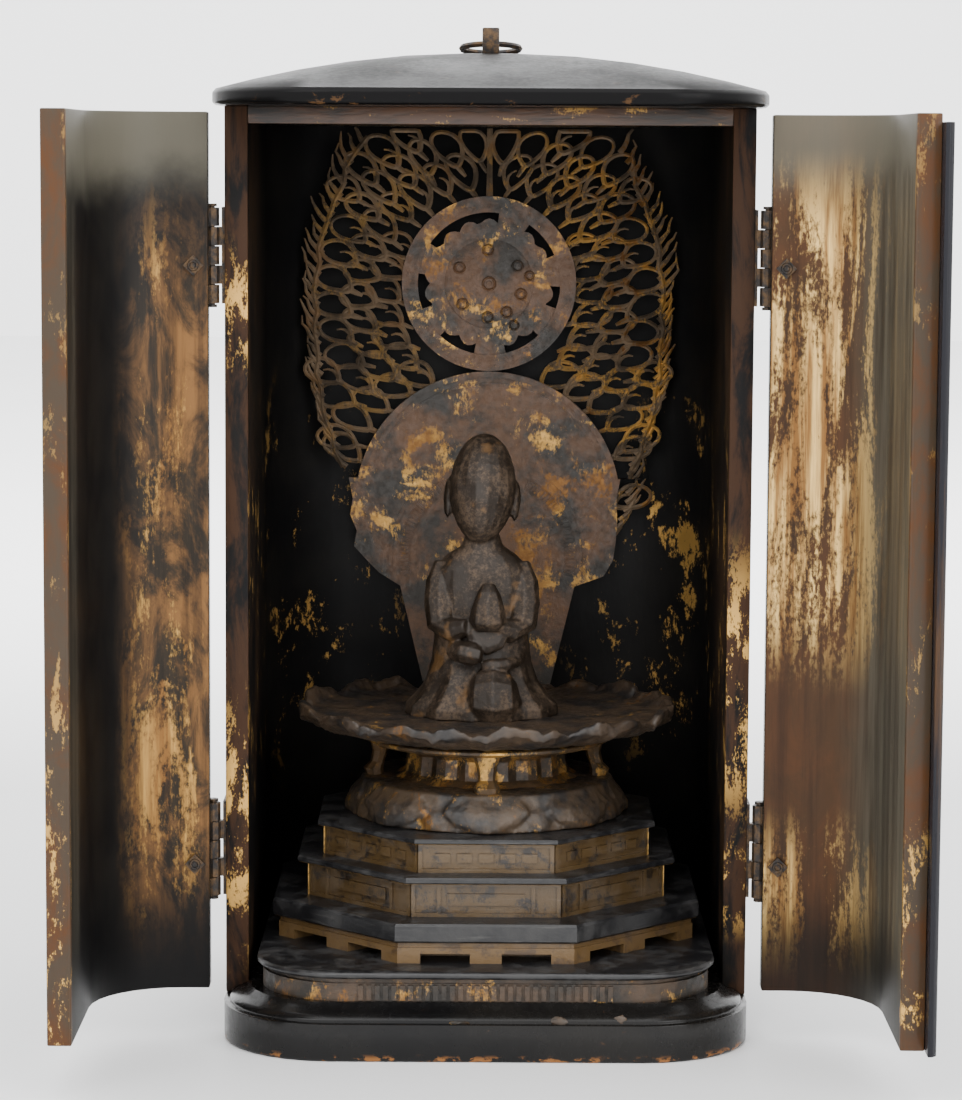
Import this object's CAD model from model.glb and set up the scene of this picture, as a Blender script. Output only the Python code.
# Portable shrine: the looks of a lacquered case with curved doors, a seated figure and an openwork mandorla.
# Metres in the scene; sizes named here are in millimetres unless they say otherwise.
import math
import random

import bmesh
import bpy
from mathutils import Matrix, Vector, noise


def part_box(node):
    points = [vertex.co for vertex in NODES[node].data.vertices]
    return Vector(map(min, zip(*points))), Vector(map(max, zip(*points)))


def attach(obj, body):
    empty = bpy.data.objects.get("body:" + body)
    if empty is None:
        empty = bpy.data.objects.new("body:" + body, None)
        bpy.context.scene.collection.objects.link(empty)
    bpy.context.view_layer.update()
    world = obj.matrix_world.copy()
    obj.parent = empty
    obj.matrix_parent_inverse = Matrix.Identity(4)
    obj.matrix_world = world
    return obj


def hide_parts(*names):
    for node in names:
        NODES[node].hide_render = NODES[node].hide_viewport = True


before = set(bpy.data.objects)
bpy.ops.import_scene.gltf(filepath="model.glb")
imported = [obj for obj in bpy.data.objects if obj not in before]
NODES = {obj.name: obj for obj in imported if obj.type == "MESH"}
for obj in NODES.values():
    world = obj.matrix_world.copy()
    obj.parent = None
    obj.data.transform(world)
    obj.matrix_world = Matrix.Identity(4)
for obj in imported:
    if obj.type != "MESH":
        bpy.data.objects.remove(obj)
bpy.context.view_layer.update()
MM = 0.001

bl_info = {
    "name": "Portable shrine",
    "version": (1, 0, 0),
    "blender": (4, 5, 0),
    "location": "View3D > Sidebar > Shrine",
    "description": "Dresses the shrine's frame with lacquer, gold leaf and carving",
    "category": "Object",
}

# Camera, as fitted to the photograph; the y values run from the part's origin
PHOTO_HEIGHT = 1100
FOCAL_PIXELS = 3558
SENSOR = 36
CAMERA_PLACE = (-2.44, -1267.65, 306.6)
CAMERA_PITCH = 6.39
CAMERA_ROLL = 0.33

# Places read from the frame
CASE_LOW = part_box("case_shell")[0]
UPPER_LOW, UPPER_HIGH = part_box("mandorla_upper")
LOWER_LOW, LOWER_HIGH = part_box("mandorla_lower")
SEAT_LOW, SEAT_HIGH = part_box("lotus_seat")
STEP_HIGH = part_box("step_slab")[1]

# Arc of the doors: wall, radius and centre in plan
DOOR_WALL = 8
DOOR_ARC = 38
DOOR_ARC_X = 104.3
DOOR_ARC_Y = -86.55

# Mandorla
HALO_HEIGHT = 257.3
HALO_DISC = 17.7
HALO_RING = 32.7
BOSS_CIRCLE = 12.6
BODY_HALO = 50
BODY_HALO_HEIGHT = 174.4
STRAND = 0.95
CELL_LONG = 13.8
CELL_WIDE = 8.8
CELL_RINGS = 5
CELL_PITCH = 9.6


def clamped(value, low, high):
    return max(low, min(high, value))


def select_only(obj):
    bpy.ops.object.select_all(action="DESELECT")
    obj.select_set(True)
    bpy.context.view_layer.objects.active = obj


def apply_all(obj):
    select_only(obj)
    for modifier in list(obj.modifiers):
        bpy.ops.object.modifier_apply(modifier=modifier.name)


def settle(obj):
    select_only(obj)
    bpy.ops.object.transform_apply(location=True, rotation=True, scale=True)


def joined(objects, name):
    bpy.ops.object.select_all(action="DESELECT")
    for obj in objects:
        obj.select_set(True)
    bpy.context.view_layer.objects.active = objects[0]
    bpy.ops.object.join()
    piece = bpy.context.object
    piece.name = name
    piece.data.name = name
    settle(piece)
    return piece


def mesh_object(name, vertices, faces):
    mesh = bpy.data.meshes.new(name)
    mesh.from_pydata(vertices, [], faces)
    mesh.update()
    obj = bpy.data.objects.new(name, mesh)
    bpy.context.scene.collection.objects.link(obj)
    return obj


def node_copy(node, name):
    """A copy of a CAD node's mesh with its doubles merged."""
    obj = NODES[node].copy()
    obj.data = NODES[node].data.copy()
    obj.name = name
    obj.parent = None
    for key in list(obj.keys()):
        if key.startswith("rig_"):
            del obj[key]
    bpy.context.scene.collection.objects.link(obj)
    select_only(obj)
    bpy.ops.object.mode_set(mode="EDIT")
    bpy.ops.mesh.select_all(action="SELECT")
    bpy.ops.mesh.remove_doubles(threshold=1e-5)
    bpy.ops.object.mode_set(mode="OBJECT")
    return obj


def finish_piece(piece, body, material, nodes=(), angle=35):
    piece.data.materials.clear()
    piece.data.materials.append(material)
    select_only(piece)
    bpy.ops.object.shade_smooth_by_angle(angle=math.radians(angle))
    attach(piece, body)
    if nodes:
        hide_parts(*nodes)
    return piece


# Materials


class Finish:
    """A material's node graph, built by small steps."""

    def __init__(self, name):
        self.material = bpy.data.materials.new(name)
        self.material.use_nodes = True
        self.tree = self.material.node_tree
        self.shader = self.tree.nodes["Principled BSDF"]
        self.coords = self.tree.nodes.new("ShaderNodeTexCoord").outputs["Object"]
        self.axes = self.tree.nodes.new("ShaderNodeSeparateXYZ")
        self.tree.links.new(self.coords, self.axes.inputs[0])

    def link(self, source, socket):
        if isinstance(source, bpy.types.NodeSocket):
            self.tree.links.new(source, socket)
        else:
            socket.default_value = source

    def axis(self, letter):
        return self.axes.outputs[letter]

    def maths(self, operation, a, b=0.0):
        node = self.tree.nodes.new("ShaderNodeMath")
        node.operation = operation
        self.link(a, node.inputs[0])
        self.link(b, node.inputs[1])
        return node.outputs[0]

    def noise(self, scale, stretch=(1, 1, 1), detail=6, rough=0.6, warp=0.0):
        mapping = self.tree.nodes.new("ShaderNodeMapping")
        mapping.inputs["Scale"].default_value = stretch
        self.link(self.coords, mapping.inputs["Vector"])
        node = self.tree.nodes.new("ShaderNodeTexNoise")
        node.inputs["Scale"].default_value = scale
        node.inputs["Detail"].default_value = detail
        node.inputs["Roughness"].default_value = rough
        node.inputs["Distortion"].default_value = warp
        self.link(mapping.outputs["Vector"], node.inputs["Vector"])
        return node.outputs["Fac"]

    def ranged(self, value, low, high, to_low=0.0, to_high=1.0, smooth=True):
        node = self.tree.nodes.new("ShaderNodeMapRange")
        node.interpolation_type = "SMOOTHSTEP" if smooth else "LINEAR"
        node.clamp = True
        self.link(value, node.inputs["Value"])
        limits = {"From Min": low, "From Max": high, "To Min": to_low, "To Max": to_high}
        for socket, number in limits.items():
            node.inputs[socket].default_value = number
        return node.outputs["Result"]

    def band(self, value, low, high, soft):
        """1 between two places, fading to 0 outside them."""
        rise = self.ranged(value, low - soft, low + soft)
        fall = self.ranged(value, high - soft, high + soft, 1.0, 0.0)
        return self.maths("MULTIPLY", rise, fall)

    def mix(self, share, a, b):
        node = self.tree.nodes.new("ShaderNodeMix")
        node.data_type = "RGBA"
        self.link(share, node.inputs["Factor"])
        self.link(a if not isinstance(a, tuple) else (*a, 1), node.inputs[6])
        self.link(b if not isinstance(b, tuple) else (*b, 1), node.inputs[7])
        return node.outputs[2]

    def bump(self, height, distance, strength=1.0, under=None):
        node = self.tree.nodes.new("ShaderNodeBump")
        node.inputs["Strength"].default_value = strength
        node.inputs["Distance"].default_value = distance
        self.link(height, node.inputs["Height"])
        if under is not None:
            self.link(under, node.inputs["Normal"])
        return node.outputs["Normal"]

    def set(self, color, rough, metal=0.0, normal=None, coat=0.0):
        self.link(color if not isinstance(color, tuple) else (*color, 1), self.shader.inputs["Base Color"])
        self.link(rough, self.shader.inputs["Roughness"])
        self.link(metal, self.shader.inputs["Metallic"])
        if normal is not None:
            self.link(normal, self.shader.inputs["Normal"])
        if coat:
            self.shader.inputs["Coat Weight"].default_value = coat
            self.shader.inputs["Coat Roughness"].default_value = 0.12
        return self.material


BLACK = (0.004, 0.0038, 0.004)
SOOT = (0.009, 0.008, 0.007)
BROWN = (0.055, 0.028, 0.013)
RED_BROWN = (0.075, 0.032, 0.013)
COPPER = (0.22, 0.105, 0.035)
GOLD = (0.62, 0.36, 0.1)
BRIGHT_GOLD = (0.85, 0.56, 0.2)
OLIVE = (0.11, 0.1, 0.075)
DUST = (0.12, 0.115, 0.105)


def both(g, a, b):
    return g.maths("MULTIPLY", a, b)


def either(g, a, b):
    return g.maths("MAXIMUM", a, b)


def leaf_mask(g, scale=70, stretch=(1, 1, 0.28), low=0.5, high=0.56):
    """Ragged remains of gold leaf: patches broken up by fine grain."""
    patches = g.noise(scale, stretch, 8, 0.68, 0.4)
    grain = g.noise(scale * 12, (1, 1, 0.5), 4, 0.7)
    mixed = g.maths("ADD", g.maths("MULTIPLY", patches, 0.75), g.maths("MULTIPLY", grain, 0.25))
    return g.ranged(mixed, low, high)


def lacquer(name="black_lacquer"):
    g = Finish(name)
    z = g.axis("Z")
    broad = g.noise(28, (1, 1, 1), 5, 0.6)
    fine = g.noise(420, (1, 1, 0.6), 4, 0.6)
    chips = g.ranged(g.noise(150, (1, 1, 1), 6, 0.72, 0.6), 0.66, 0.69)
    foot = g.ranged(z, 0.0006, 0.003, 0.8, 0.0)
    foot_chips = both(g, foot, g.ranged(g.noise(120, (1, 1, 2), 5, 0.7), 0.52, 0.58))
    color = g.mix(g.ranged(broad, 0.35, 0.7), BLACK, SOOT)
    color = g.mix(g.maths("MULTIPLY", chips, 0.6), color, BROWN)
    color = g.mix(foot_chips, color, (0.3, 0.12, 0.03))
    rough = g.maths("ADD", g.ranged(fine, 0.3, 0.8, 0.14, 0.26), g.maths("MULTIPLY", broad, 0.12))
    height = g.maths("ADD", g.maths("MULTIPLY", broad, 1.0), g.maths("MULTIPLY", fine, 0.06))
    g.shader.inputs["Specular IOR Level"].default_value = 0.18
    return g.set(color, rough, 0.0, g.bump(height, 0.0011, 0.35), 0.1)


def case_finish():
    """Black lacquer outside; worn brown edges on the front posts; gold leaf remains low on the inside."""
    g = Finish("case_lacquer")
    x, y, z = g.axis("X"), g.axis("Y"), g.axis("Z")
    front = CASE_LOW.y
    away = g.maths("ABSOLUTE", x)
    within = g.ranged(away, 0.0829, 0.0834, 1.0, 0.0)
    inside = both(g, within, g.ranged(y, front + 0.1245, front + 0.128, 1.0, 0.0))
    post = g.ranged(y, front + 0.0004, front + 0.0012, 1.0, 0.0)
    worn = g.ranged(g.noise(90, (1, 1, 0.25), 7, 0.7, 0.5), 0.4, 0.56)
    flecks = leaf_mask(g, 130, (1, 1, 0.4), 0.5, 0.55)
    left_gold = both(g, g.ranged(x, -0.02, 0.0, 1.0, 0.0),
                     either(g, g.band(z, 0.235, 0.268, 0.012), g.band(z, 0.035, 0.11, 0.02)))
    right_gold = both(g, g.ranged(x, 0.0, 0.02),
                      either(g, g.band(z, 0.085, 0.16, 0.02), g.band(z, 0.04, 0.065, 0.01)))
    color = g.mix(g.ranged(g.noise(30), 0.35, 0.7), BLACK, SOOT)
    color = g.mix(both(g, post, g.maths("MULTIPLY", worn, 0.5)), color, RED_BROWN)
    post_gold = both(g, both(g, post, either(g, left_gold, right_gold)), flecks)
    near_side = both(g, g.ranged(away, 0.05, 0.08), g.ranged(y, front + 0.01, front + 0.09, 1.0, 0.0))
    side_worn = both(g, both(g, inside, near_side), g.ranged(g.noise(45, (1, 1, 0.5), 7, 0.65), 0.44, 0.6))
    color = g.mix(g.maths("MULTIPLY", side_worn, 0.55), color, BROWN)
    back_low = both(g, g.band(z, 0.09, 0.20, 0.03), inside)
    off_centre = g.band(away, 0.035, 0.085, 0.012)
    back_gold = both(g, both(g, back_low, off_centre), leaf_mask(g, 60, (1, 1, 0.7), 0.565, 0.61))
    gold = either(g, post_gold, back_gold)
    color = g.mix(gold, color, GOLD)
    matt = either(g, inside, post)
    rough = g.mix(gold, g.mix(matt, (0.26, 0.26, 0.26), (0.55, 0.55, 0.55)), (0.4, 0.4, 0.4))
    height = g.noise(300, (1, 1, 0.4), 5, 0.65)
    g.shader.inputs["Specular IOR Level"].default_value = 0.14
    return g.set(color, rough, g.maths("MULTIPLY", gold, 0.75), g.bump(height, 0.0006, 0.25))


def door_finish(side):
    """Outside black; inside worn brown with streaks of gold leaf, stronger towards the hinges."""
    g = Finish("door_lacquer_left" if side < 0 else "door_lacquer_right")
    x, y, z = g.axis("X"), g.axis("Y"), g.axis("Z")
    across = g.maths("MULTIPLY", x, float(side))
    dx = g.maths("MAXIMUM", g.maths("SUBTRACT", across, DOOR_ARC_X * MM), 0.0)
    dy = g.maths("MAXIMUM", g.maths("SUBTRACT", y, DOOR_ARC_Y * MM), 0.0)
    reach = g.maths("SQRT", g.maths("ADD", both(g, dx, dx), both(g, dy, dy)))
    inside = g.ranged(reach, (DOOR_ARC - DOOR_WALL + 0.5) * MM, (DOOR_ARC - DOOR_WALL + 0.8) * MM, 1.0, 0.0)
    end = g.ranged(y, -0.1370, -0.1360, 1.0, 0.0)
    top = g.ranged(g.maths("ADD", z, both(g, g.noise(40), 0.02)), 0.296, 0.318)
    low = g.ranged(z, 0.03, 0.06, 1.0, 0.0)
    streaks = g.noise(160, (1, 1, 0.05), 6, 0.7, 0.2)
    mottle = g.noise(55, (1, 1, 0.5), 8, 0.7, 0.6)
    hinge_side = g.ranged(across, 0.112, 0.128, 1.0, 0.0)
    color = g.mix(g.ranged(mottle, 0.35, 0.65), BLACK, SOOT)
    if side < 0:
        base = g.mix(g.ranged(mottle, 0.42, 0.6), (0.03, 0.022, 0.014), COPPER)
        zone = both(g, hinge_side, g.band(z, 0.05, 0.27, 0.03))
        brown_zone = both(g, zone, g.ranged(streaks, 0.35, 0.6, 0.45, 1.0))
        gold_zone = both(g, zone, leaf_mask(g, 60, (1, 1, 0.22), 0.51, 0.59))
        free = both(g, g.ranged(y, -0.118, -0.108, 1.0, 0.0), g.ranged(streaks, 0.4, 0.62, 0.2, 0.7))
        olive_zone = either(g, top, both(g, free, 0.5))
        gold_color = g.mix(g.ranged(streaks, 0.4, 0.7), COPPER, GOLD)
    else:
        base = g.mix(g.ranged(mottle, 0.38, 0.62), BROWN, RED_BROWN)
        wide = g.ranged(across, 0.118, 0.137, 1.0, 0.0)
        brown_zone = both(g, wide, g.ranged(streaks, 0.3, 0.6, 0.5, 1.0))
        heights = either(g, g.band(z, 0.14, 0.29, 0.02), both(g, g.band(z, 0.035, 0.07, 0.015), 0.8))
        zone = both(g, wide, heights)
        gold_zone = both(g, zone, leaf_mask(g, 65, (1, 1, 0.16), 0.46, 0.54))
        free = both(g, g.ranged(across, 0.118, 0.134), g.ranged(streaks, 0.35, 0.62, 0.35, 0.9))
        olive_zone = either(g, top, free)
        gold_color = g.mix(g.ranged(streaks, 0.38, 0.62), COPPER, BRIGHT_GOLD)
    inner = g.mix(brown_zone, color, base)
    inner = g.mix(g.maths("MULTIPLY", olive_zone, 0.75), inner, OLIVE)
    inner = g.mix(gold_zone, inner, gold_color)
    inner = g.mix(g.maths("MULTIPLY", low, 0.7), inner, BLACK)
    edge = g.mix(g.ranged(mottle, 0.4, 0.62), (0.05, 0.036, 0.024), RED_BROWN)
    edge_gold = both(g, leaf_mask(g, 110, (1, 1, 0.3), 0.54, 0.58), g.ranged(z, 0.02, 0.2, 1.0, 0.25))
    edge = g.mix(edge_gold, edge, GOLD)
    color = g.mix(inside, color, inner)
    color = g.mix(end, color, edge)
    gold = either(g, both(g, gold_zone, inside), both(g, edge_gold, end))
    rough = g.mix(inside, (0.2, 0.2, 0.2), (0.42, 0.42, 0.42))
    height = g.maths("ADD", g.maths("MULTIPLY", streaks, 0.5), g.maths("MULTIPLY", gold, 0.25))
    g.shader.inputs["Specular IOR Level"].default_value = 0.14
    return g.set(color, rough, g.maths("MULTIPLY", gold, 0.8), g.bump(height, 0.0006, 0.35))


def strip_finish():
    g = Finish("strip_lacquer")
    streaks = g.noise(120, (1, 1, 0.06), 6, 0.7)
    worn = g.ranged(streaks, 0.5, 0.68)
    color = g.mix(worn, (0.012, 0.012, 0.015), BROWN)
    g.shader.inputs["Specular IOR Level"].default_value = 0.14
    return g.set(color, g.ranged(streaks, 0.3, 0.7, 0.2, 0.4), 0.0, g.bump(streaks, 0.0004, 0.3))


def roof_finish():
    g = Finish("roof_lacquer")
    z = g.axis("Z")
    broad = g.noise(16, (1, 1, 1), 6, 0.62)
    fine = g.noise(500, (1, 1, 1), 5, 0.7)
    dusty = g.ranged(g.maths("ADD", both(g, broad, 0.7), both(g, fine, 0.3)), 0.4, 0.65)
    above = g.ranged(z, 0.3265, 0.3285)
    rim_chips = both(g, g.ranged(g.noise(110, (1, 1, 1.5), 6, 0.75, 0.4), 0.6, 0.64),
                     g.ranged(z, 0.3215, 0.3272, 1.0, 0.2))
    color = g.mix(both(g, above, dusty), BLACK, (0.008, 0.008, 0.008))
    color = g.mix(g.maths("MULTIPLY", rim_chips, 0.7), color, (0.1, 0.05, 0.02))
    rough = g.mix(above, (0.22, 0.22, 0.22), g.mix(dusty, (0.3, 0.3, 0.3), (0.48, 0.48, 0.48)))
    height = g.maths("ADD", both(g, broad, 1.0), both(g, fine, 0.08))
    g.shader.inputs["Specular IOR Level"].default_value = 0.08
    return g.set(color, rough, 0.0, g.bump(height, 0.0012, 0.3))


def lintel_finish():
    g = Finish("lintel_lacquer")
    worn = g.ranged(g.noise(70, (0.3, 1, 1.6), 7, 0.7, 0.4), 0.38, 0.58)
    flecks = leaf_mask(g, 120, (0.4, 1, 1), 0.56, 0.6)
    color = g.mix(g.maths("MULTIPLY", worn, 0.9), SOOT, RED_BROWN)
    color = g.mix(g.maths("MULTIPLY", flecks, 0.6), color, GOLD)
    return g.set(color, 0.42, both(g, flecks, 0.4), g.bump(worn, 0.0004, 0.3), 0.1)


def iron_finish():
    g = Finish("iron_fittings")
    rust = g.ranged(g.noise(300, (1, 1, 1), 6, 0.7), 0.42, 0.62)
    color = g.mix(rust, (0.03, 0.027, 0.026), (0.1, 0.06, 0.03))
    rough = g.ranged(g.noise(500), 0.3, 0.7, 0.35, 0.65)
    return g.set(color, rough, 0.7, g.bump(g.noise(600, (1, 1, 1), 5, 0.7), 0.0004, 0.5))


def gilt_finish(name, gold_share, ground, scale=90, dark=(0.018, 0.014, 0.01), warm_right=False):
    """Worn gilding over dark wood; gold is left in patches and on what stands proud."""
    g = Finish(name)
    leaf = leaf_mask(g, scale, (1, 1, 1), 0.62 - 0.22 * gold_share, 0.70 - 0.22 * gold_share)
    if warm_right:
        right = g.ranged(g.axis("X"), -0.02, 0.06, 0.35, 1.0)
        leaf = both(g, leaf, right)
    soot = g.ranged(g.noise(scale * 0.8, (1, 1, 1), 6, 0.65), 0.4, 0.62)
    tone = g.noise(scale * 0.4)
    color = g.mix(soot, ground, dark)
    gold = g.mix(g.ranged(tone, 0.4, 0.6), COPPER, GOLD)
    color = g.mix(leaf, color, gold)
    rough = g.ranged(g.noise(400), 0.3, 0.7, 0.32, 0.6)
    metal = g.ranged(leaf, 0.0, 1.0, 0.1, 0.8)
    return g.set(color, rough, metal, g.bump(g.noise(700, (1, 1, 1), 5, 0.7), 0.0005, 0.4))


def octagon_reach(g):
    """Distance from the pedestal's axis, measured square to the facets."""
    x = g.axis("X")
    y = g.maths("SUBTRACT", g.axis("Y"), (SEAT_LOW.y + SEAT_HIGH.y) / 2)
    reach = 0.0
    for eighth in range(4):
        turn = eighth * math.pi / 4
        along = g.maths("ADD", both(g, x, math.cos(turn)), both(g, y, math.sin(turn)))
        reach = either(g, reach, g.maths("ABSOLUTE", along))
    return reach


def slab_finish(name, gold_low=None, gold_high=None, gold_share=1.0, face=None):
    """Dusty blue-black lacquer on the pedestal's slabs, with gold kept between two heights.

    With a face, the gold keeps to the bars that stand proud of it."""
    g = Finish(name)
    z = g.axis("Z")
    dusty = g.ranged(g.noise(90, (1, 1, 1), 7, 0.7), 0.42, 0.66)
    scratches = g.ranged(g.noise(260, (0.2, 0.2, 3), 5, 0.7), 0.55, 0.75)
    color = g.mix(dusty, (0.008, 0.008, 0.009), (0.03, 0.029, 0.029))
    color = g.mix(both(g, scratches, 0.4), color, DUST)
    gold = 0.0
    if gold_low is not None:
        zone = g.band(z, gold_low, gold_high, 0.0003)
        gold = both(g, zone, g.maths("MULTIPLY", leaf_mask(g, 130, (1, 1, 1), 0.40, 0.50), gold_share))
        worn = both(g, zone, 0.8)
        if face is not None:
            proud = g.ranged(octagon_reach(g), (face + 0.15) * MM, (face + 0.55) * MM, 0.12, 1.0)
            gold = both(g, gold, proud)
            worn = both(g, worn, g.ranged(proud, 0.12, 1.0, 0.2, 1.0))
        color = g.mix(worn, color, (0.085, 0.05, 0.024))
        color = g.mix(gold, color, GOLD)
    rough = g.ranged(dusty, 0.0, 1.0, 0.32, 0.6)
    metal = both(g, gold, 0.75) if gold_low is not None else 0.0
    return g.set(color, rough, metal, g.bump(g.noise(500, (1, 1, 1), 5, 0.65), 0.0004, 0.35), 0.05)


def figure_finish():
    g = Finish("figure_wood")
    pits = g.noise(700, (1, 1, 1), 6, 0.75)
    broad = g.noise(90, (1, 1, 1), 6, 0.65)
    pale = g.ranged(g.maths("ADD", both(g, pits, 0.5), both(g, broad, 0.5)), 0.46, 0.62)
    color = g.mix(pale, (0.02, 0.013, 0.008), (0.095, 0.062, 0.038))
    gold = both(g, g.ranged(g.noise(60, (1, 1, 1), 5, 0.6), 0.58, 0.66), 0.5)
    color = g.mix(gold, color, (0.2, 0.1, 0.03))
    rough = g.ranged(broad, 0.3, 0.7, 0.42, 0.68)
    return g.set(color, rough, 0.25, g.bump(pits, 0.0004, 0.5))


FINISHES = {}


def make_finishes():
    FINISHES.update({
        "lacquer": lacquer(),
        "case": case_finish(),
        "door_left": door_finish(-1),
        "door_right": door_finish(1),
        "strip": strip_finish(),
        "roof": roof_finish(),
        "lintel": lintel_finish(),
        "iron": iron_finish(),
        "mandorla": gilt_finish("mandorla_gilding", 0.62, (0.17, 0.115, 0.068), 110,
                                (0.06, 0.042, 0.026), True),
        "halo": gilt_finish("halo_gilding", 0.42, (0.12, 0.058, 0.026), 75, (0.03, 0.024, 0.018)),
        "frieze_ribs": gilt_finish("rib_gilding", 0.35, (0.06, 0.035, 0.018), 80),
        "petals": gilt_finish("petal_gilding", 0.3, (0.075, 0.05, 0.03), 100, (0.025, 0.022, 0.02)),
        "drum": gilt_finish("drum_gilding", 0.6, (0.08, 0.045, 0.02), 120),
        "gold": gilt_finish("plate_gilding", 0.55, (0.09, 0.052, 0.022), 90),
        "feet": slab_finish("feet_lacquer", STEP_HIGH.z, STEP_HIGH.z + 0.0075, 0.12),
        "lower": slab_finish("lower_frieze_lacquer", STEP_HIGH.z + 0.0141, STEP_HIGH.z + 0.0262, 0.85, 62.5),
        "upper": slab_finish("upper_frieze_lacquer", STEP_HIGH.z + 0.0285, STEP_HIGH.z + 0.0388, 0.95, 57),
        "step": slab_finish("step_lacquer"),
        "seat": gilt_finish("seat_lacquer", 0.22, (0.055, 0.036, 0.022), 70, (0.016, 0.014, 0.013)),
        "figure": figure_finish(),
    })


def dress(node, finish):
    obj = NODES[node]
    obj.data.materials.clear()
    obj.data.materials.append(FINISHES[finish])


# Carving helpers


def strand(points, radii, sides=6, flat=1.0, closed=False):
    """Vertices and faces of a tube in the x, z plane; flat stretches it along y."""
    vertices = []
    faces = []
    count = len(points)
    for i, point in enumerate(points):
        before = points[(i - 1) % count] if closed or i > 0 else points[i]
        after = points[(i + 1) % count] if closed or i < count - 1 else points[i]
        along = (Vector(after) - Vector(before)).normalized()
        across = Vector((along.z, 0, -along.x))
        for k in range(sides):
            turn = 2 * math.pi * (k + 0.5) / sides
            offset = across * math.cos(turn) * radii[i] + Vector((0, math.sin(turn) * radii[i] * flat, 0))
            vertices.append(Vector(point) + offset)
    rings = count if closed else count - 1
    for i in range(rings):
        low = i * sides
        high = ((i + 1) % count) * sides
        for k in range(sides):
            j = (k + 1) % sides
            faces.append((low + k, high + k, high + j, low + j))
    if not closed:
        faces.append(tuple(range(sides)))
        faces.append(tuple(reversed(range((count - 1) * sides, count * sides))))
    return vertices, faces


def gather(name, parts):
    vertices = []
    faces = []
    for part_vertices, part_faces in parts:
        start = len(vertices)
        vertices.extend(v * MM for v in part_vertices)
        faces.extend(tuple(start + i for i in face) for face in part_faces)
    obj = mesh_object(name, vertices, faces)
    whole = bmesh.new()
    whole.from_mesh(obj.data)
    bmesh.ops.recalc_face_normals(whole, faces=whole.faces)
    whole.to_mesh(obj.data)
    whole.free()
    return obj


# Half widths of the flames at heights, as measured, in millimetres
SPREAD = [
    (148, 44), (158, 52), (172, 60), (187, 61), (200, 66), (215, 70), (235, 71.5), (256, 72), (277, 69),
    (289, 63.5), (302, 59.5), (316, 50),
]


def spread_at(z):
    for (z0, w0), (z1, w1) in zip(SPREAD, SPREAD[1:]):
        if z <= z1:
            return w0 + (w1 - w0) * max(0.0, z - z0) / (z1 - z0)
    return SPREAD[-1][1]


def growth(x, z):
    """The way the flames lick at a place: outwards from the halo, and never below a slant."""
    lift = math.atan2(z - 222, abs(x) + 4)
    return clamped(lift, math.radians(38), math.radians(88))


def teardrop(x, z, lean, side, long, wide, y):
    """A closed strand: pointed where it grows from, round at its end, curled a little to one side."""
    points = []
    steps = 20
    for i in range(steps):
        t = 2 * math.pi * i / steps
        along = -math.cos(t) * 0.5
        width = 0.5 * math.sin(t) * (0.5 + 0.5 * math.sin((along + 0.5) * math.pi * 0.62))
        curl = 0.34 * (along + 0.5) ** 2
        u = along * long
        v = (width * 1.15 + curl) * wide
        points.append(Vector((
            x + side * (u * math.cos(lean) + v * math.sin(lean)),
            y,
            z + u * math.sin(lean) - v * math.cos(lean),
        )))
    return points


def flame_cells():
    cells = []
    centre = 252
    for ring in range(CELL_RINGS):
        radius = 38.5 + ring * CELL_PITCH
        step = (CELL_WIDE + 0.5 * ring) / radius
        count = int(math.radians(180) / step)
        for i in range(count + 1):
            turn = math.radians(90) - (i + (0.5 if ring % 2 == 0 else 0.0)) * step
            cells.append((radius * math.cos(turn), centre + radius * math.sin(turn)))
    row = 0
    z = 150.0
    while z < 222:
        column = 40 + (4.5 if row % 2 else 0)
        while column < 72:
            if math.hypot(column, z - centre) > 38.5 + (CELL_RINGS - 1) * CELL_PITCH + 4 or z < 200:
                cells.append((column, z))
            column += 9.4
        z += 9.2
        row += 1
    return cells


def cell_fits(x, z, side, reach=4.0):
    halo = math.hypot(x, z - HALO_HEIGHT) > HALO_RING + reach - 1.5
    body = math.hypot(x, z - BODY_HALO_HEIGHT) > BODY_HALO + reach - 1.5
    edge = x < spread_at(z) - reach - (3.5 if z > 190 else 0.5)
    low = z > (152 if side > 0 else 190)
    return halo and body and edge and low and z < 313 and x > 3


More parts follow.
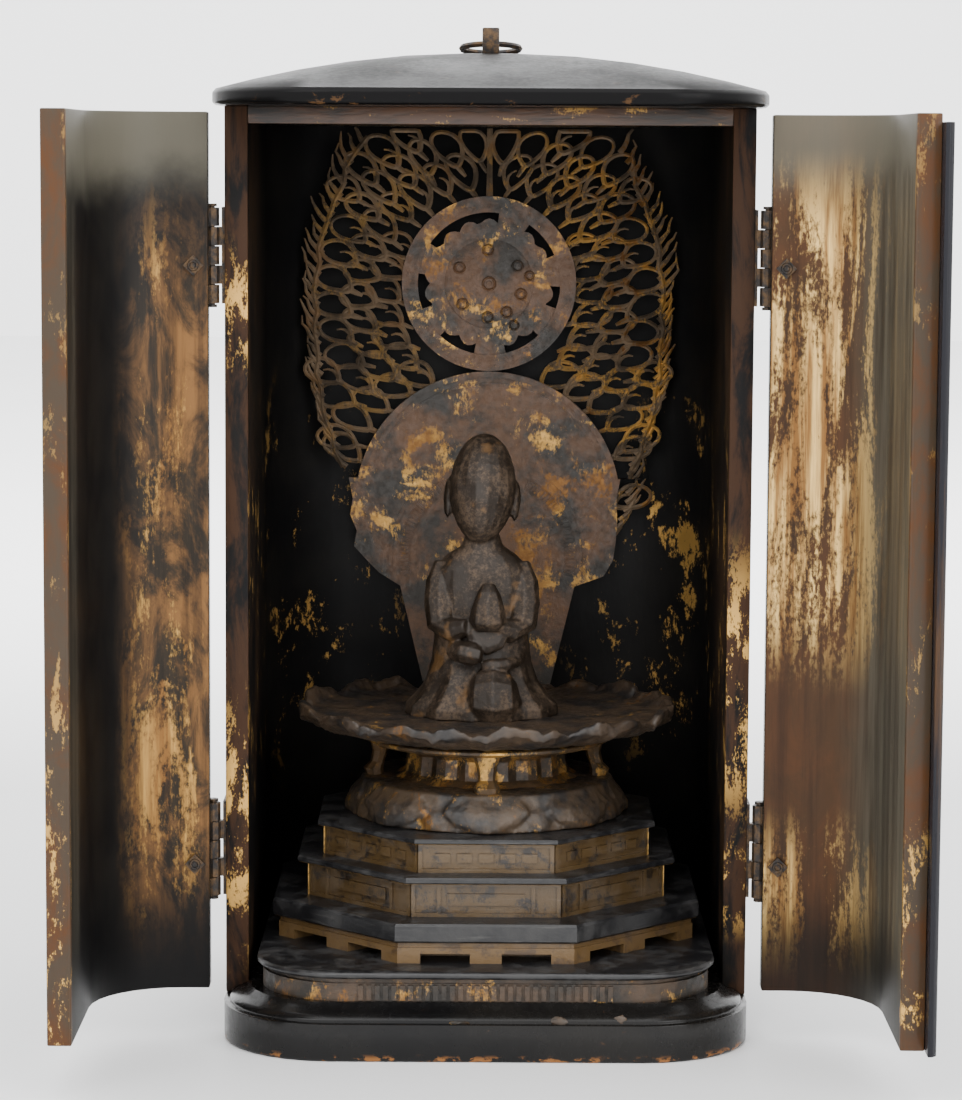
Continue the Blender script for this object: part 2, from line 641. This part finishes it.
def make_mandorla_strands(y):
    rng = random.Random(7)
    parts = []
    top = UPPER_HIGH.z / MM - 0.2
    for x, z in flame_cells():
        for side in (-1, 1):
            if not cell_fits(x, z, side):
                continue
            lean = growth(x, z) + rng.uniform(-0.16, 0.16)
            long = CELL_LONG * rng.uniform(0.92, 1.1)
            wide = CELL_WIDE * rng.uniform(0.92, 1.08)
            loop = teardrop(side * x, z, lean, side, long, wide, y)
            loop = [Vector((p.x, p.y, min(p.z, top - 1))) for p in loop]
            thick = STRAND * rng.uniform(0.85, 1.1)
            radii = [thick * (1.25 - 0.35 * math.sin(math.pi * i / len(loop))) for i in range(len(loop))]
            parts.append(strand(loop, radii, 6, 1.3, True))
            base = loop[0]
            way = Vector((side * math.cos(lean - 0.35), 0, math.sin(lean - 0.35)))
            root = [base - way * 5, base - way * 2.4, base + way * 1]
            parts.append(strand(root, [thick * 0.7, thick * 1.1, thick * 1.3], 6, 1.2))
            curl = [base]
            for i in range(5):
                turn = lean + 0.75 - 0.42 * i
                curl.append(curl[-1] + Vector((side * math.cos(turn), 0, math.sin(turn))) * long * 0.13)
            if rng.random() < 0.6:
                parts.append(strand(curl, [thick * (1.15 - 0.16 * i) for i in range(6)], 6, 1.2))
    for side in (-1, 1):
        z = 152.0 if side > 0 else 188.0
        while z < 309:
            width = spread_at(z)
            lean = min(growth(width, z) * 0.85, math.radians(64))
            long = rng.uniform(8.5, 13.0)
            start = Vector((side * (width - 8.0), y, z))
            curve = []
            for i in range(6):
                t = i / 5
                bend = lean + 0.45 * t * rng.uniform(0.7, 1.2)
                curve.append(start + Vector((side * math.cos(bend), 0, math.sin(bend))) * long * t)
            limit = spread_at(z) + 2.5
            curve = [Vector((clamped(p.x, -limit, limit), p.y, min(p.z, top))) for p in curve]
            radii = [STRAND * 1.25 * (1 - 0.78 * (i / 5) ** 1.4) for i in range(6)]
            parts.append(strand(curve, radii, 6, 1.2))
            z += rng.uniform(3.2, 4.6)
        spine = [Vector((side * (spread_at(h) - 6.5 + 0.8 * math.sin(h * 0.4)), y, h))
                 for h in [((152 if side > 0 else 188) + i * 5.9) for i in range(26)] if h < top - 1]
        parts.append(strand(spine, [STRAND * 1.1] * len(spine), 6, 1.5))
    stem = [Vector((0, y, h)) for h in (288, 295, 303, top)]
    parts.append(strand(stem, [1.6, 1.3, 1.2, 1.2], 6, 1.2))
    return parts


def flat_ring(inner, outer, height, y, thick, steps=72, start=0.0, stop=360.0, wave=0.0, waves=0):
    """A flat ring or part of one in the x, z plane, standing proud towards the front."""
    whole = abs(stop - start) >= 359.9
    count = steps if whole else steps + 1
    vertices = []
    for i in range(count):
        turn = math.radians(start + (stop - start) * i / steps)
        ripple = wave * abs(math.sin(turn * waves / 2)) if waves else 0.0
        for radius, depth in ((inner, 0), (inner, -thick), (outer + ripple, -thick), (outer + ripple, 0)):
            vertices.append(Vector((radius * math.cos(turn), y + depth, height + radius * math.sin(turn))))
    faces = []
    for i in range(steps):
        a = i * 4
        b = ((i + 1) % count) * 4
        for k in range(4):
            j = (k + 1) % 4
            faces.append((a + k, b + k, b + j, a + j))
    if not whole:
        faces.append((0, 1, 2, 3))
        faces.append(tuple(reversed([(count - 1) * 4 + k for k in range(4)])))
    return vertices, faces


def on_circle(radius, turn, x, y, z):
    """The place at a turn on a circle that faces the front."""
    return Vector((x + radius * math.cos(turn), y, z + radius * math.sin(turn)))


def disc(radius, height, y, thick, steps=64, x=0.0):
    vertices = []
    for depth, share in ((0, 1.0), (-thick * 0.6, 1.0), (-thick, 0.93)):
        for i in range(steps):
            turn = 2 * math.pi * i / steps
            vertices.append(on_circle(radius * share, turn, x, y + depth, height))
    faces = []
    for level in (0, 1):
        for i in range(steps):
            j = (i + 1) % steps
            near = level * steps
            far = near + steps
            faces.append((near + i, near + j, far + j, far + i))
    faces.append(tuple(range(steps)))
    faces.append(tuple(reversed(range(2 * steps, 3 * steps))))
    return vertices, faces


def torus_part(radius, wire, x, y, z, steps=18, sides=6):
    loop = [on_circle(radius, 2 * math.pi * i / steps, x, y, z) for i in range(steps)]
    return strand(loop, [wire] * steps, sides, 1.0, True)


def make_halo(y):
    """The round halo behind the head: a disc with ringed bosses, a leafy ring, gaps and a beaded ring."""
    parts = [disc(HALO_DISC, HALO_HEIGHT, y, 1.0)]
    parts.append(flat_ring(HALO_DISC - 1, 22.2, HALO_HEIGHT, y, 1.4, 96, wave=2.2, waves=18))
    for stop in (60, 150, 205, 262, 318, 362):
        parts.append(flat_ring(21, 28, HALO_HEIGHT, y, 1.0, 6, stop - 4, stop + 22))
    parts.append(flat_ring(26.7, HALO_RING, HALO_HEIGHT, y, 1.6, 96))
    for i in range(60):
        turn = 2 * math.pi * i / 60
        for radius in (28.6, 31.2):
            x = radius * math.cos(turn)
            z = HALO_HEIGHT + radius * math.sin(turn)
            parts.append(torus_part(0.7, 0.42, x, y - 1.7, z, 8, 4))
    spots = [(0.0, 0.0, 2.3)]
    for angle in (92, 32, -18, -58, -92, -142, 152):
        turn = math.radians(angle)
        spots.append((BOSS_CIRCLE * math.cos(turn), BOSS_CIRCLE * math.sin(turn), 1.9))
    spots += [(15.2, 3.0, 1.6), (9.5, -15.5, 1.6)]
    for x, z, size in spots:
        parts.append(torus_part(size, 0.55, x, y - 1.2, HALO_HEIGHT + z))
        parts.append(disc(size * 0.45, HALO_HEIGHT + z, y - 0.9, 0.9, 12, x))
    return parts


def plate_from(outline, y0, y1):
    count = len(outline)
    vertices = [Vector((x, y0, z)) for x, z in outline] + [Vector((x, y1, z)) for x, z in outline]
    faces = [tuple(range(count)), tuple(reversed(range(count, 2 * count)))]
    faces += [(i, (i + 1) % count, count + (i + 1) % count, count + i) for i in range(count)]
    return vertices, faces


def body_halo_outline(low, high):
    """The plain field behind the shoulders, between two heights."""
    points = []
    steps = 22
    for i in range(steps + 1):
        z = low + (high - low) * i / steps
        half = math.sqrt(max(0.0, BODY_HALO ** 2 - (z - BODY_HALO_HEIGHT) ** 2))
        points.append((half, z))
    return points


def make_body_halo_upper(y0, y1):
    low = UPPER_LOW.z / MM
    high = BODY_HALO_HEIGHT + BODY_HALO - 0.4
    right = body_halo_outline(low, high)
    left = [(-x, z) for x, z in reversed(right)]
    field = plate_from(right + left, y0, y1)
    rim = [flat_ring(BODY_HALO - 2.2, BODY_HALO, BODY_HALO_HEIGHT, y0, 0.9, 60, 17, 163)]
    rim.append(flat_ring(BODY_HALO - 5.2, BODY_HALO - 4.4, BODY_HALO_HEIGHT, y0, 0.5, 60, 19, 161))
    return [field] + rim


def make_body_halo_lower(y0, y1):
    high = LOWER_HIGH.z / MM
    low = LOWER_LOW.z / MM
    right = [
        (24, low), (33, 143), (44, 147), (47.5, 153), (48.5, 160), (49, 168), (48.6, 176), (BODY_HALO, high),
    ]
    left = [
        (-52.5, high), (-51, 176), (-52, 170), (-49.5, 164), (-50.5, 158), (-45, 152), (-41, 148),
        (-33, 143), (-24, low),
    ]
    parts = [plate_from(right + left, y0, y1)]
    inner_height = 154
    parts.append(flat_ring(29.5, 33.5, inner_height, y0, 0.8, 40, -12, 62))
    parts.append(flat_ring(29.5, 33.5, inner_height, y0, 0.8, 40, 118, 192))
    for i in range(26):
        for base, sign in ((-10, 1), (190, -1)):
            turn = math.radians(base + sign * i * 2.8)
            if inner_height + 33 * math.sin(turn) > high - 1.2:
                continue
            a = Vector((30 * math.cos(turn), y0 - 1.1, inner_height + 30 * math.sin(turn)))
            b = Vector((33.2 * math.cos(turn), y0 - 1.1, inner_height + 33.2 * math.sin(turn)))
            parts.append(strand([a, b], [0.5, 0.5], 4, 1.0))
    parts.append(flat_ring(36, 37.2, inner_height, y0, 0.7, 40, -6, 50))
    parts.append(flat_ring(36, 37.2, inner_height, y0, 0.7, 40, 130, 186))
    return parts


def split_at(parts, height, keep_above):
    """The strands of one board: each goes to the board that holds most of it, and stops at the joint."""
    kept = []
    for vertices, faces in parts:
        middle = sum(v.z for v in vertices) / len(vertices)
        if (middle > height) == keep_above:
            limit = max if keep_above else min
            kept.append(([Vector((v.x, v.y, limit(v.z, height))) for v in vertices], faces))
    return kept


class ShrineSizes(bpy.types.PropertyGroup):
    grain: bpy.props.FloatProperty(
        name="Carving grain", description="Depth of the worn surface of the figure",
        default=0.13 * MM, unit="LENGTH",
    )
    floor_color: bpy.props.FloatVectorProperty(
        name="Floor colour", description="Colour of the studio floor",
        default=(0.93, 0.932, 0.935), subtype="COLOR",
    )
    key_light: bpy.props.FloatProperty(
        name="Key light", description="Power of the large soft light", default=13.0, unit="POWER",
    )


def sizes():
    return bpy.context.scene.shrine_sizes


class SHRINE_OT_stage(bpy.types.Operator):
    """Camera, pale floor and soft studio light"""
    bl_idname = "shrine.stage"
    bl_label = "Stage"

    def execute(self, context):
        bpy.ops.object.select_all(action="DESELECT")
        bpy.ops.object.camera_add()
        camera = context.object
        camera.data.lens = FOCAL_PIXELS / PHOTO_HEIGHT * SENSOR
        camera.data.sensor_width = SENSOR
        camera.data.clip_start = 0.01
        camera.data.clip_end = 50
        pitch = Matrix.Rotation(math.radians(90 - CAMERA_PITCH), 4, "X")
        roll = Matrix.Rotation(math.radians(CAMERA_ROLL), 4, "Z")
        camera.matrix_world = Matrix.Translation(Vector(CAMERA_PLACE) * MM) @ pitch @ roll
        context.scene.camera = camera
        self.floor()
        self.lights()
        return {"FINISHED"}

    def floor(self):
        g = Finish("studio_floor")
        soft = g.noise(3, (1, 1, 1), 3, 0.5)
        color = g.mix(soft, (0.88, 0.882, 0.885), tuple(sizes().floor_color))
        material = g.set(color, 0.55)
        bpy.ops.object.select_all(action="DESELECT")
        bpy.ops.mesh.primitive_plane_add(size=8, location=(0, 0.6, 0))
        floor = bpy.context.object
        floor.name = "studio_floor"
        settle(floor)
        bpy.ops.object.mode_set(mode="EDIT")
        bpy.ops.mesh.select_all(action="DESELECT")
        bpy.ops.object.mode_set(mode="OBJECT")
        for edge in floor.data.edges:
            edge.select = all(floor.data.vertices[v].co.y > 3 for v in edge.vertices)
        bpy.ops.object.mode_set(mode="EDIT")
        bpy.ops.mesh.extrude_region_move(TRANSFORM_OT_translate={"value": (0, 0, 5)})
        bpy.ops.object.mode_set(mode="OBJECT")
        floor.data.materials.append(material)

    def lights(self):
        scene = bpy.context.scene
        world = bpy.data.worlds.new("studio")
        world.use_nodes = True
        background = world.node_tree.nodes["Background"]
        background.inputs["Color"].default_value = (1, 1, 1, 1)
        background.inputs["Strength"].default_value = 2.3
        scene.world = world
        for name, place, aim, size, power in (
            ("key", (-0.7, -1.3, 1.5), (0, 0, 0.2), 1.0, sizes().key_light * 0.8),
            ("fill", (1.1, -1.2, 0.9), (0, 0, 0.2), 1.0, sizes().key_light * 0.8),
            ("top", (0, -0.5, 1.7), (0, 0, 0.3), 1.2, sizes().key_light * 0.5),
            ("backdrop", (0, 1.0, 1.8), (0, 3.5, 1.0), 2.0, sizes().key_light * 12),
        ):
            bpy.ops.object.select_all(action="DESELECT")
            bpy.ops.object.light_add(type="AREA", location=place)
            light = bpy.context.object
            light.name = name
            light.data.size = size
            light.data.energy = power
            light.rotation_euler = (Vector(aim) - Vector(place)).to_track_quat("-Z", "Y").to_euler()


class SHRINE_OT_finishes(bpy.types.Operator):
    """Lacquer, gold leaf and iron on the pieces that keep the frame's shape"""
    bl_idname = "shrine.finishes"
    bl_label = "Finishes"

    def execute(self, context):
        make_finishes()
        for node in NODES:
            if node.startswith(("hinge", "washer")) or node in ("staple", "ring"):
                dress(node, "iron")
        for node, finish in (
            ("plinth", "lacquer"), ("case_shell", "case"), ("ceiling_board", "lacquer"),
            ("lintel", "lintel"), ("step_frieze", "frieze_ribs"), ("step_slab", "step"), ("roof", "roof"),
            ("door_left", "door_left"), ("door_right", "door_right"), ("meeting_strip", "strip"),
            ("pedestal_feet", "feet"), ("pedestal_lower_frieze", "lower"), ("pedestal_upper_frieze", "upper"),
            ("pedestal_petals", "petals"), ("pedestal_drum", "drum"), ("pedestal_plate", "gold"),
            ("lotus_seat", "seat"), ("figure", "figure"),
            ("mandorla_upper", "mandorla"), ("mandorla_lower", "mandorla"),
        ):
            dress(node, finish)
        for node in NODES:
            if node.startswith("pedestal_leg"):
                dress(node, "gold")
        return {"FINISHED"}


SMOOTHED = {
    "door_left": ("door_left", "door_lacquer", 0.5), "door_right": ("door_right", "door_lacquer", 0.5),
    "case_shell": ("cabinet", "black_lacquer", 0.5), "roof": ("cabinet", "black_lacquer", 0.4),
    "plinth": ("cabinet", "black_lacquer", 0.4), "step_slab": ("cabinet", "black_lacquer", 0.3),
    "lintel": ("cabinet", "black_lacquer", 0.4), "meeting_strip": ("door_right", "door_lacquer", 0.3),
    "pedestal_drum": ("cabinet", "pedestal_lacquer", 0.3),
    "pedestal_plate": ("cabinet", "pedestal_lacquer", 0.2),
    "ring": ("ring", "iron_fittings", 0.0), "staple": ("cabinet", "iron_fittings", 0.5),
}


class SHRINE_OT_joinery(bpy.types.Operator):
    """The case, doors and roof with softened edges and true curves"""
    bl_idname = "shrine.joinery"
    bl_label = "Joinery"

    def execute(self, context):
        for node, (body, slot, edge) in SMOOTHED.items():
            piece = node_copy(node, node + "_finished")
            bpy.ops.mesh.customdata_custom_splitnormals_clear()
            bpy.ops.object.mode_set(mode="EDIT")
            bpy.ops.mesh.select_all(action="SELECT")
            bpy.ops.mesh.dissolve_limited(angle_limit=math.radians(0.5))
            bpy.ops.object.mode_set(mode="OBJECT")
            if edge:
                bevel = piece.modifiers.new("edges", "BEVEL")
                bevel.width = edge * MM
                bevel.segments = 2
                bevel.limit_method = "ANGLE"
                bevel.angle_limit = math.radians(40)
                apply_all(piece)
            finish_piece(piece, body, NODES[node].data.materials[0], [node], 32)
        return {"FINISHED"}


class SHRINE_OT_mandorla(bpy.types.Operator):
    """The openwork boards: flame strands, the head's halo and the plain field behind the body"""
    bl_idname = "shrine.mandorla"
    bl_label = "Mandorla"

    def execute(self, context):
        front = LOWER_LOW.y / MM
        back = LOWER_HIGH.y / MM
        middle = (front + back) / 2
        strands = make_mandorla_strands(middle)
        upper = gather("flames_upper", split_at(strands, UPPER_LOW.z / MM, True))
        lower = gather("flames_lower", split_at(strands, LOWER_HIGH.z / MM, False))
        halo = gather("halo_head", make_halo(front + 1) + make_body_halo_upper(front, back))
        field = gather("halo_body", make_body_halo_lower(front, back))
        for obj, finish in ((upper, "mandorla"), (lower, "mandorla"), (halo, "halo"), (field, "halo")):
            obj.data.materials.append(FINISHES[finish])
        for name, flames, plate, node in (
            ("mandorla_upper_openwork", upper, halo, "mandorla_upper"),
            ("mandorla_lower_openwork", lower, field, "mandorla_lower"),
        ):
            piece = joined([flames, plate], name)
            select_only(piece)
            bpy.ops.object.shade_smooth_by_angle(angle=math.radians(40))
            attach(piece, "cabinet")
            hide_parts(node)
        return {"FINISHED"}


def worn_copy(node, name, voxel, smooth, depth, scale, seed):
    """A finely meshed copy of a carved node with its edges softened and its surface worn."""
    piece = node_copy(node, name)
    remesh = piece.modifiers.new("remesh", "REMESH")
    remesh.mode = "VOXEL"
    remesh.voxel_size = voxel
    relax = piece.modifiers.new("smooth", "SMOOTH")
    relax.factor = 0.5
    relax.iterations = smooth
    apply_all(piece)
    mesh = piece.data
    shift = Vector((seed, seed * 2.3, seed * 3.1))
    worn = []
    for vertex in mesh.vertices:
        wear = noise.fractal(vertex.co * scale + shift, 0.8, 2.2, 4)
        worn.extend(vertex.co + vertex.normal * wear * depth)
    mesh.vertices.foreach_set("co", worn)
    mesh.update()
    return piece


class SHRINE_OT_figure(bpy.types.Operator):
    """The seated figure, with its worn carved surface"""
    bl_idname = "shrine.figure"
    bl_label = "Figure"

    def execute(self, context):
        piece = worn_copy("figure", "figure_carving", 0.48 * MM, 2, sizes().grain, 160, 3.7)
        finish_piece(piece, "cabinet", FINISHES["figure"], ["figure"], 60)
        return {"FINISHED"}


def shape_seat_rim(seat):
    """Ribs and ragged petal tips round the seat, shallow in the middle and strong at the rim."""
    centre = (SEAT_LOW + SEAT_HIGH) / 2
    rim = (SEAT_HIGH.x - SEAT_LOW.x) / 2
    board = LOWER_LOW.y
    shaped = []
    for vertex in seat.data.vertices:
        place = vertex.co - centre
        radius = math.hypot(place.x, place.y)
        share = max(0.0, (radius - 0.5 * rim) / (0.5 * rim))
        turn = math.atan2(place.x, -place.y)
        petal = abs(math.sin(turn * 9 + 0.5 * math.sin(turn * 5))) ** 0.6
        veins = 0.5 + 0.5 * math.sin(turn * 96)
        ragged = noise.noise(vertex.co * 260)
        lift = share ** 2 * (2.6 * petal - 1.0 + 0.9 * ragged) + 0.3 * share * veins
        if vertex.co.y > board - 0.003 and abs(vertex.co.x) < 0.034:
            lift = min(lift, 0.0)
        shaped.extend((vertex.co.x, vertex.co.y, vertex.co.z + lift * MM))
    seat.data.vertices.foreach_set("co", shaped)
    seat.data.update()


class SHRINE_OT_crumbs(bpy.types.Operator):
    """Chips of old lacquer that lie on the plinth's ledge"""
    bl_idname = "shrine.crumbs"
    bl_label = "Crumbs"

    def execute(self, context):
        rng = random.Random(4)
        ledge = CASE_LOW.z
        for index, (x, y, wide, deep, high) in enumerate((
            (-9, -88.6, 7.5, 1.4, 0.8), (25, -88.2, 6, 2.2, 2.0), (46, -87.2, 5, 2.4, 2.4),
        )):
            bpy.ops.object.select_all(action="DESELECT")
            bpy.ops.mesh.primitive_ico_sphere_add(subdivisions=2, radius=1, location=(0, 0, 0))
            chip = context.object
            chip.name = f"crumb_{index + 1}"
            for vertex in chip.data.vertices:
                vertex.co *= rng.uniform(0.75, 1.1)
                vertex.co = Vector((
                    (x + vertex.co.x * wide / 2) * MM, (y + vertex.co.y * deep / 2) * MM,
                    ledge + max(0.0, (vertex.co.z + 0.4) * high) * MM,
                ))
            finish = FINISHES["drum" if index == 0 else "seat"]
            finish_piece(chip, "cabinet", finish, (), 25)
        return {"FINISHED"}


class SHRINE_OT_lotus(bpy.types.Operator):
    """The ragged lotus seat and the tier of turned-down petals"""
    bl_idname = "shrine.lotus"
    bl_label = "Lotus seat and petals"

    def execute(self, context):
        seat = worn_copy("lotus_seat", "lotus_seat_carving", 0.8 * MM, 2, 0.5 * MM, 90, 1.3)
        shape_seat_rim(seat)
        finish_piece(seat, "cabinet", FINISHES["seat"], ["lotus_seat"], 60)
        petals = worn_copy("pedestal_petals", "petal_carving", 0.7 * MM, 3, 0.35 * MM, 140, 5.1)
        finish_piece(petals, "cabinet", FINISHES["petals"], ["pedestal_petals"], 60)
        return {"FINISHED"}


class SHRINE_PT_panel(bpy.types.Panel):
    """Lists the shrine's steps"""
    bl_label = "Shrine"
    bl_idname = "SHRINE_PT_panel"
    bl_space_type = "VIEW_3D"
    bl_region_type = "UI"
    bl_category = "Shrine"

    def draw(self, context):
        for name in ("grain", "floor_color", "key_light"):
            self.layout.prop(context.scene.shrine_sizes, name)
        for step in STEPS:
            self.layout.operator(step.bl_idname)


STEPS = (
    SHRINE_OT_stage, SHRINE_OT_finishes, SHRINE_OT_joinery, SHRINE_OT_mandorla, SHRINE_OT_figure,
    SHRINE_OT_lotus, SHRINE_OT_crumbs,
)
CLASSES = (ShrineSizes, *STEPS, SHRINE_PT_panel)


def register():
    for item in CLASSES:
        bpy.utils.register_class(item)
    bpy.types.Scene.shrine_sizes = bpy.props.PointerProperty(type=ShrineSizes)


def unregister():
    del bpy.types.Scene.shrine_sizes
    for item in reversed(CLASSES):
        bpy.utils.unregister_class(item)


def main():
    register()
    bpy.ops.shrine.stage()
    bpy.ops.shrine.finishes()
    bpy.ops.shrine.joinery()
    bpy.ops.shrine.mandorla()
    bpy.ops.shrine.figure()
    bpy.ops.shrine.lotus()
    bpy.ops.shrine.crumbs()


if __name__ == "__main__":
    main()
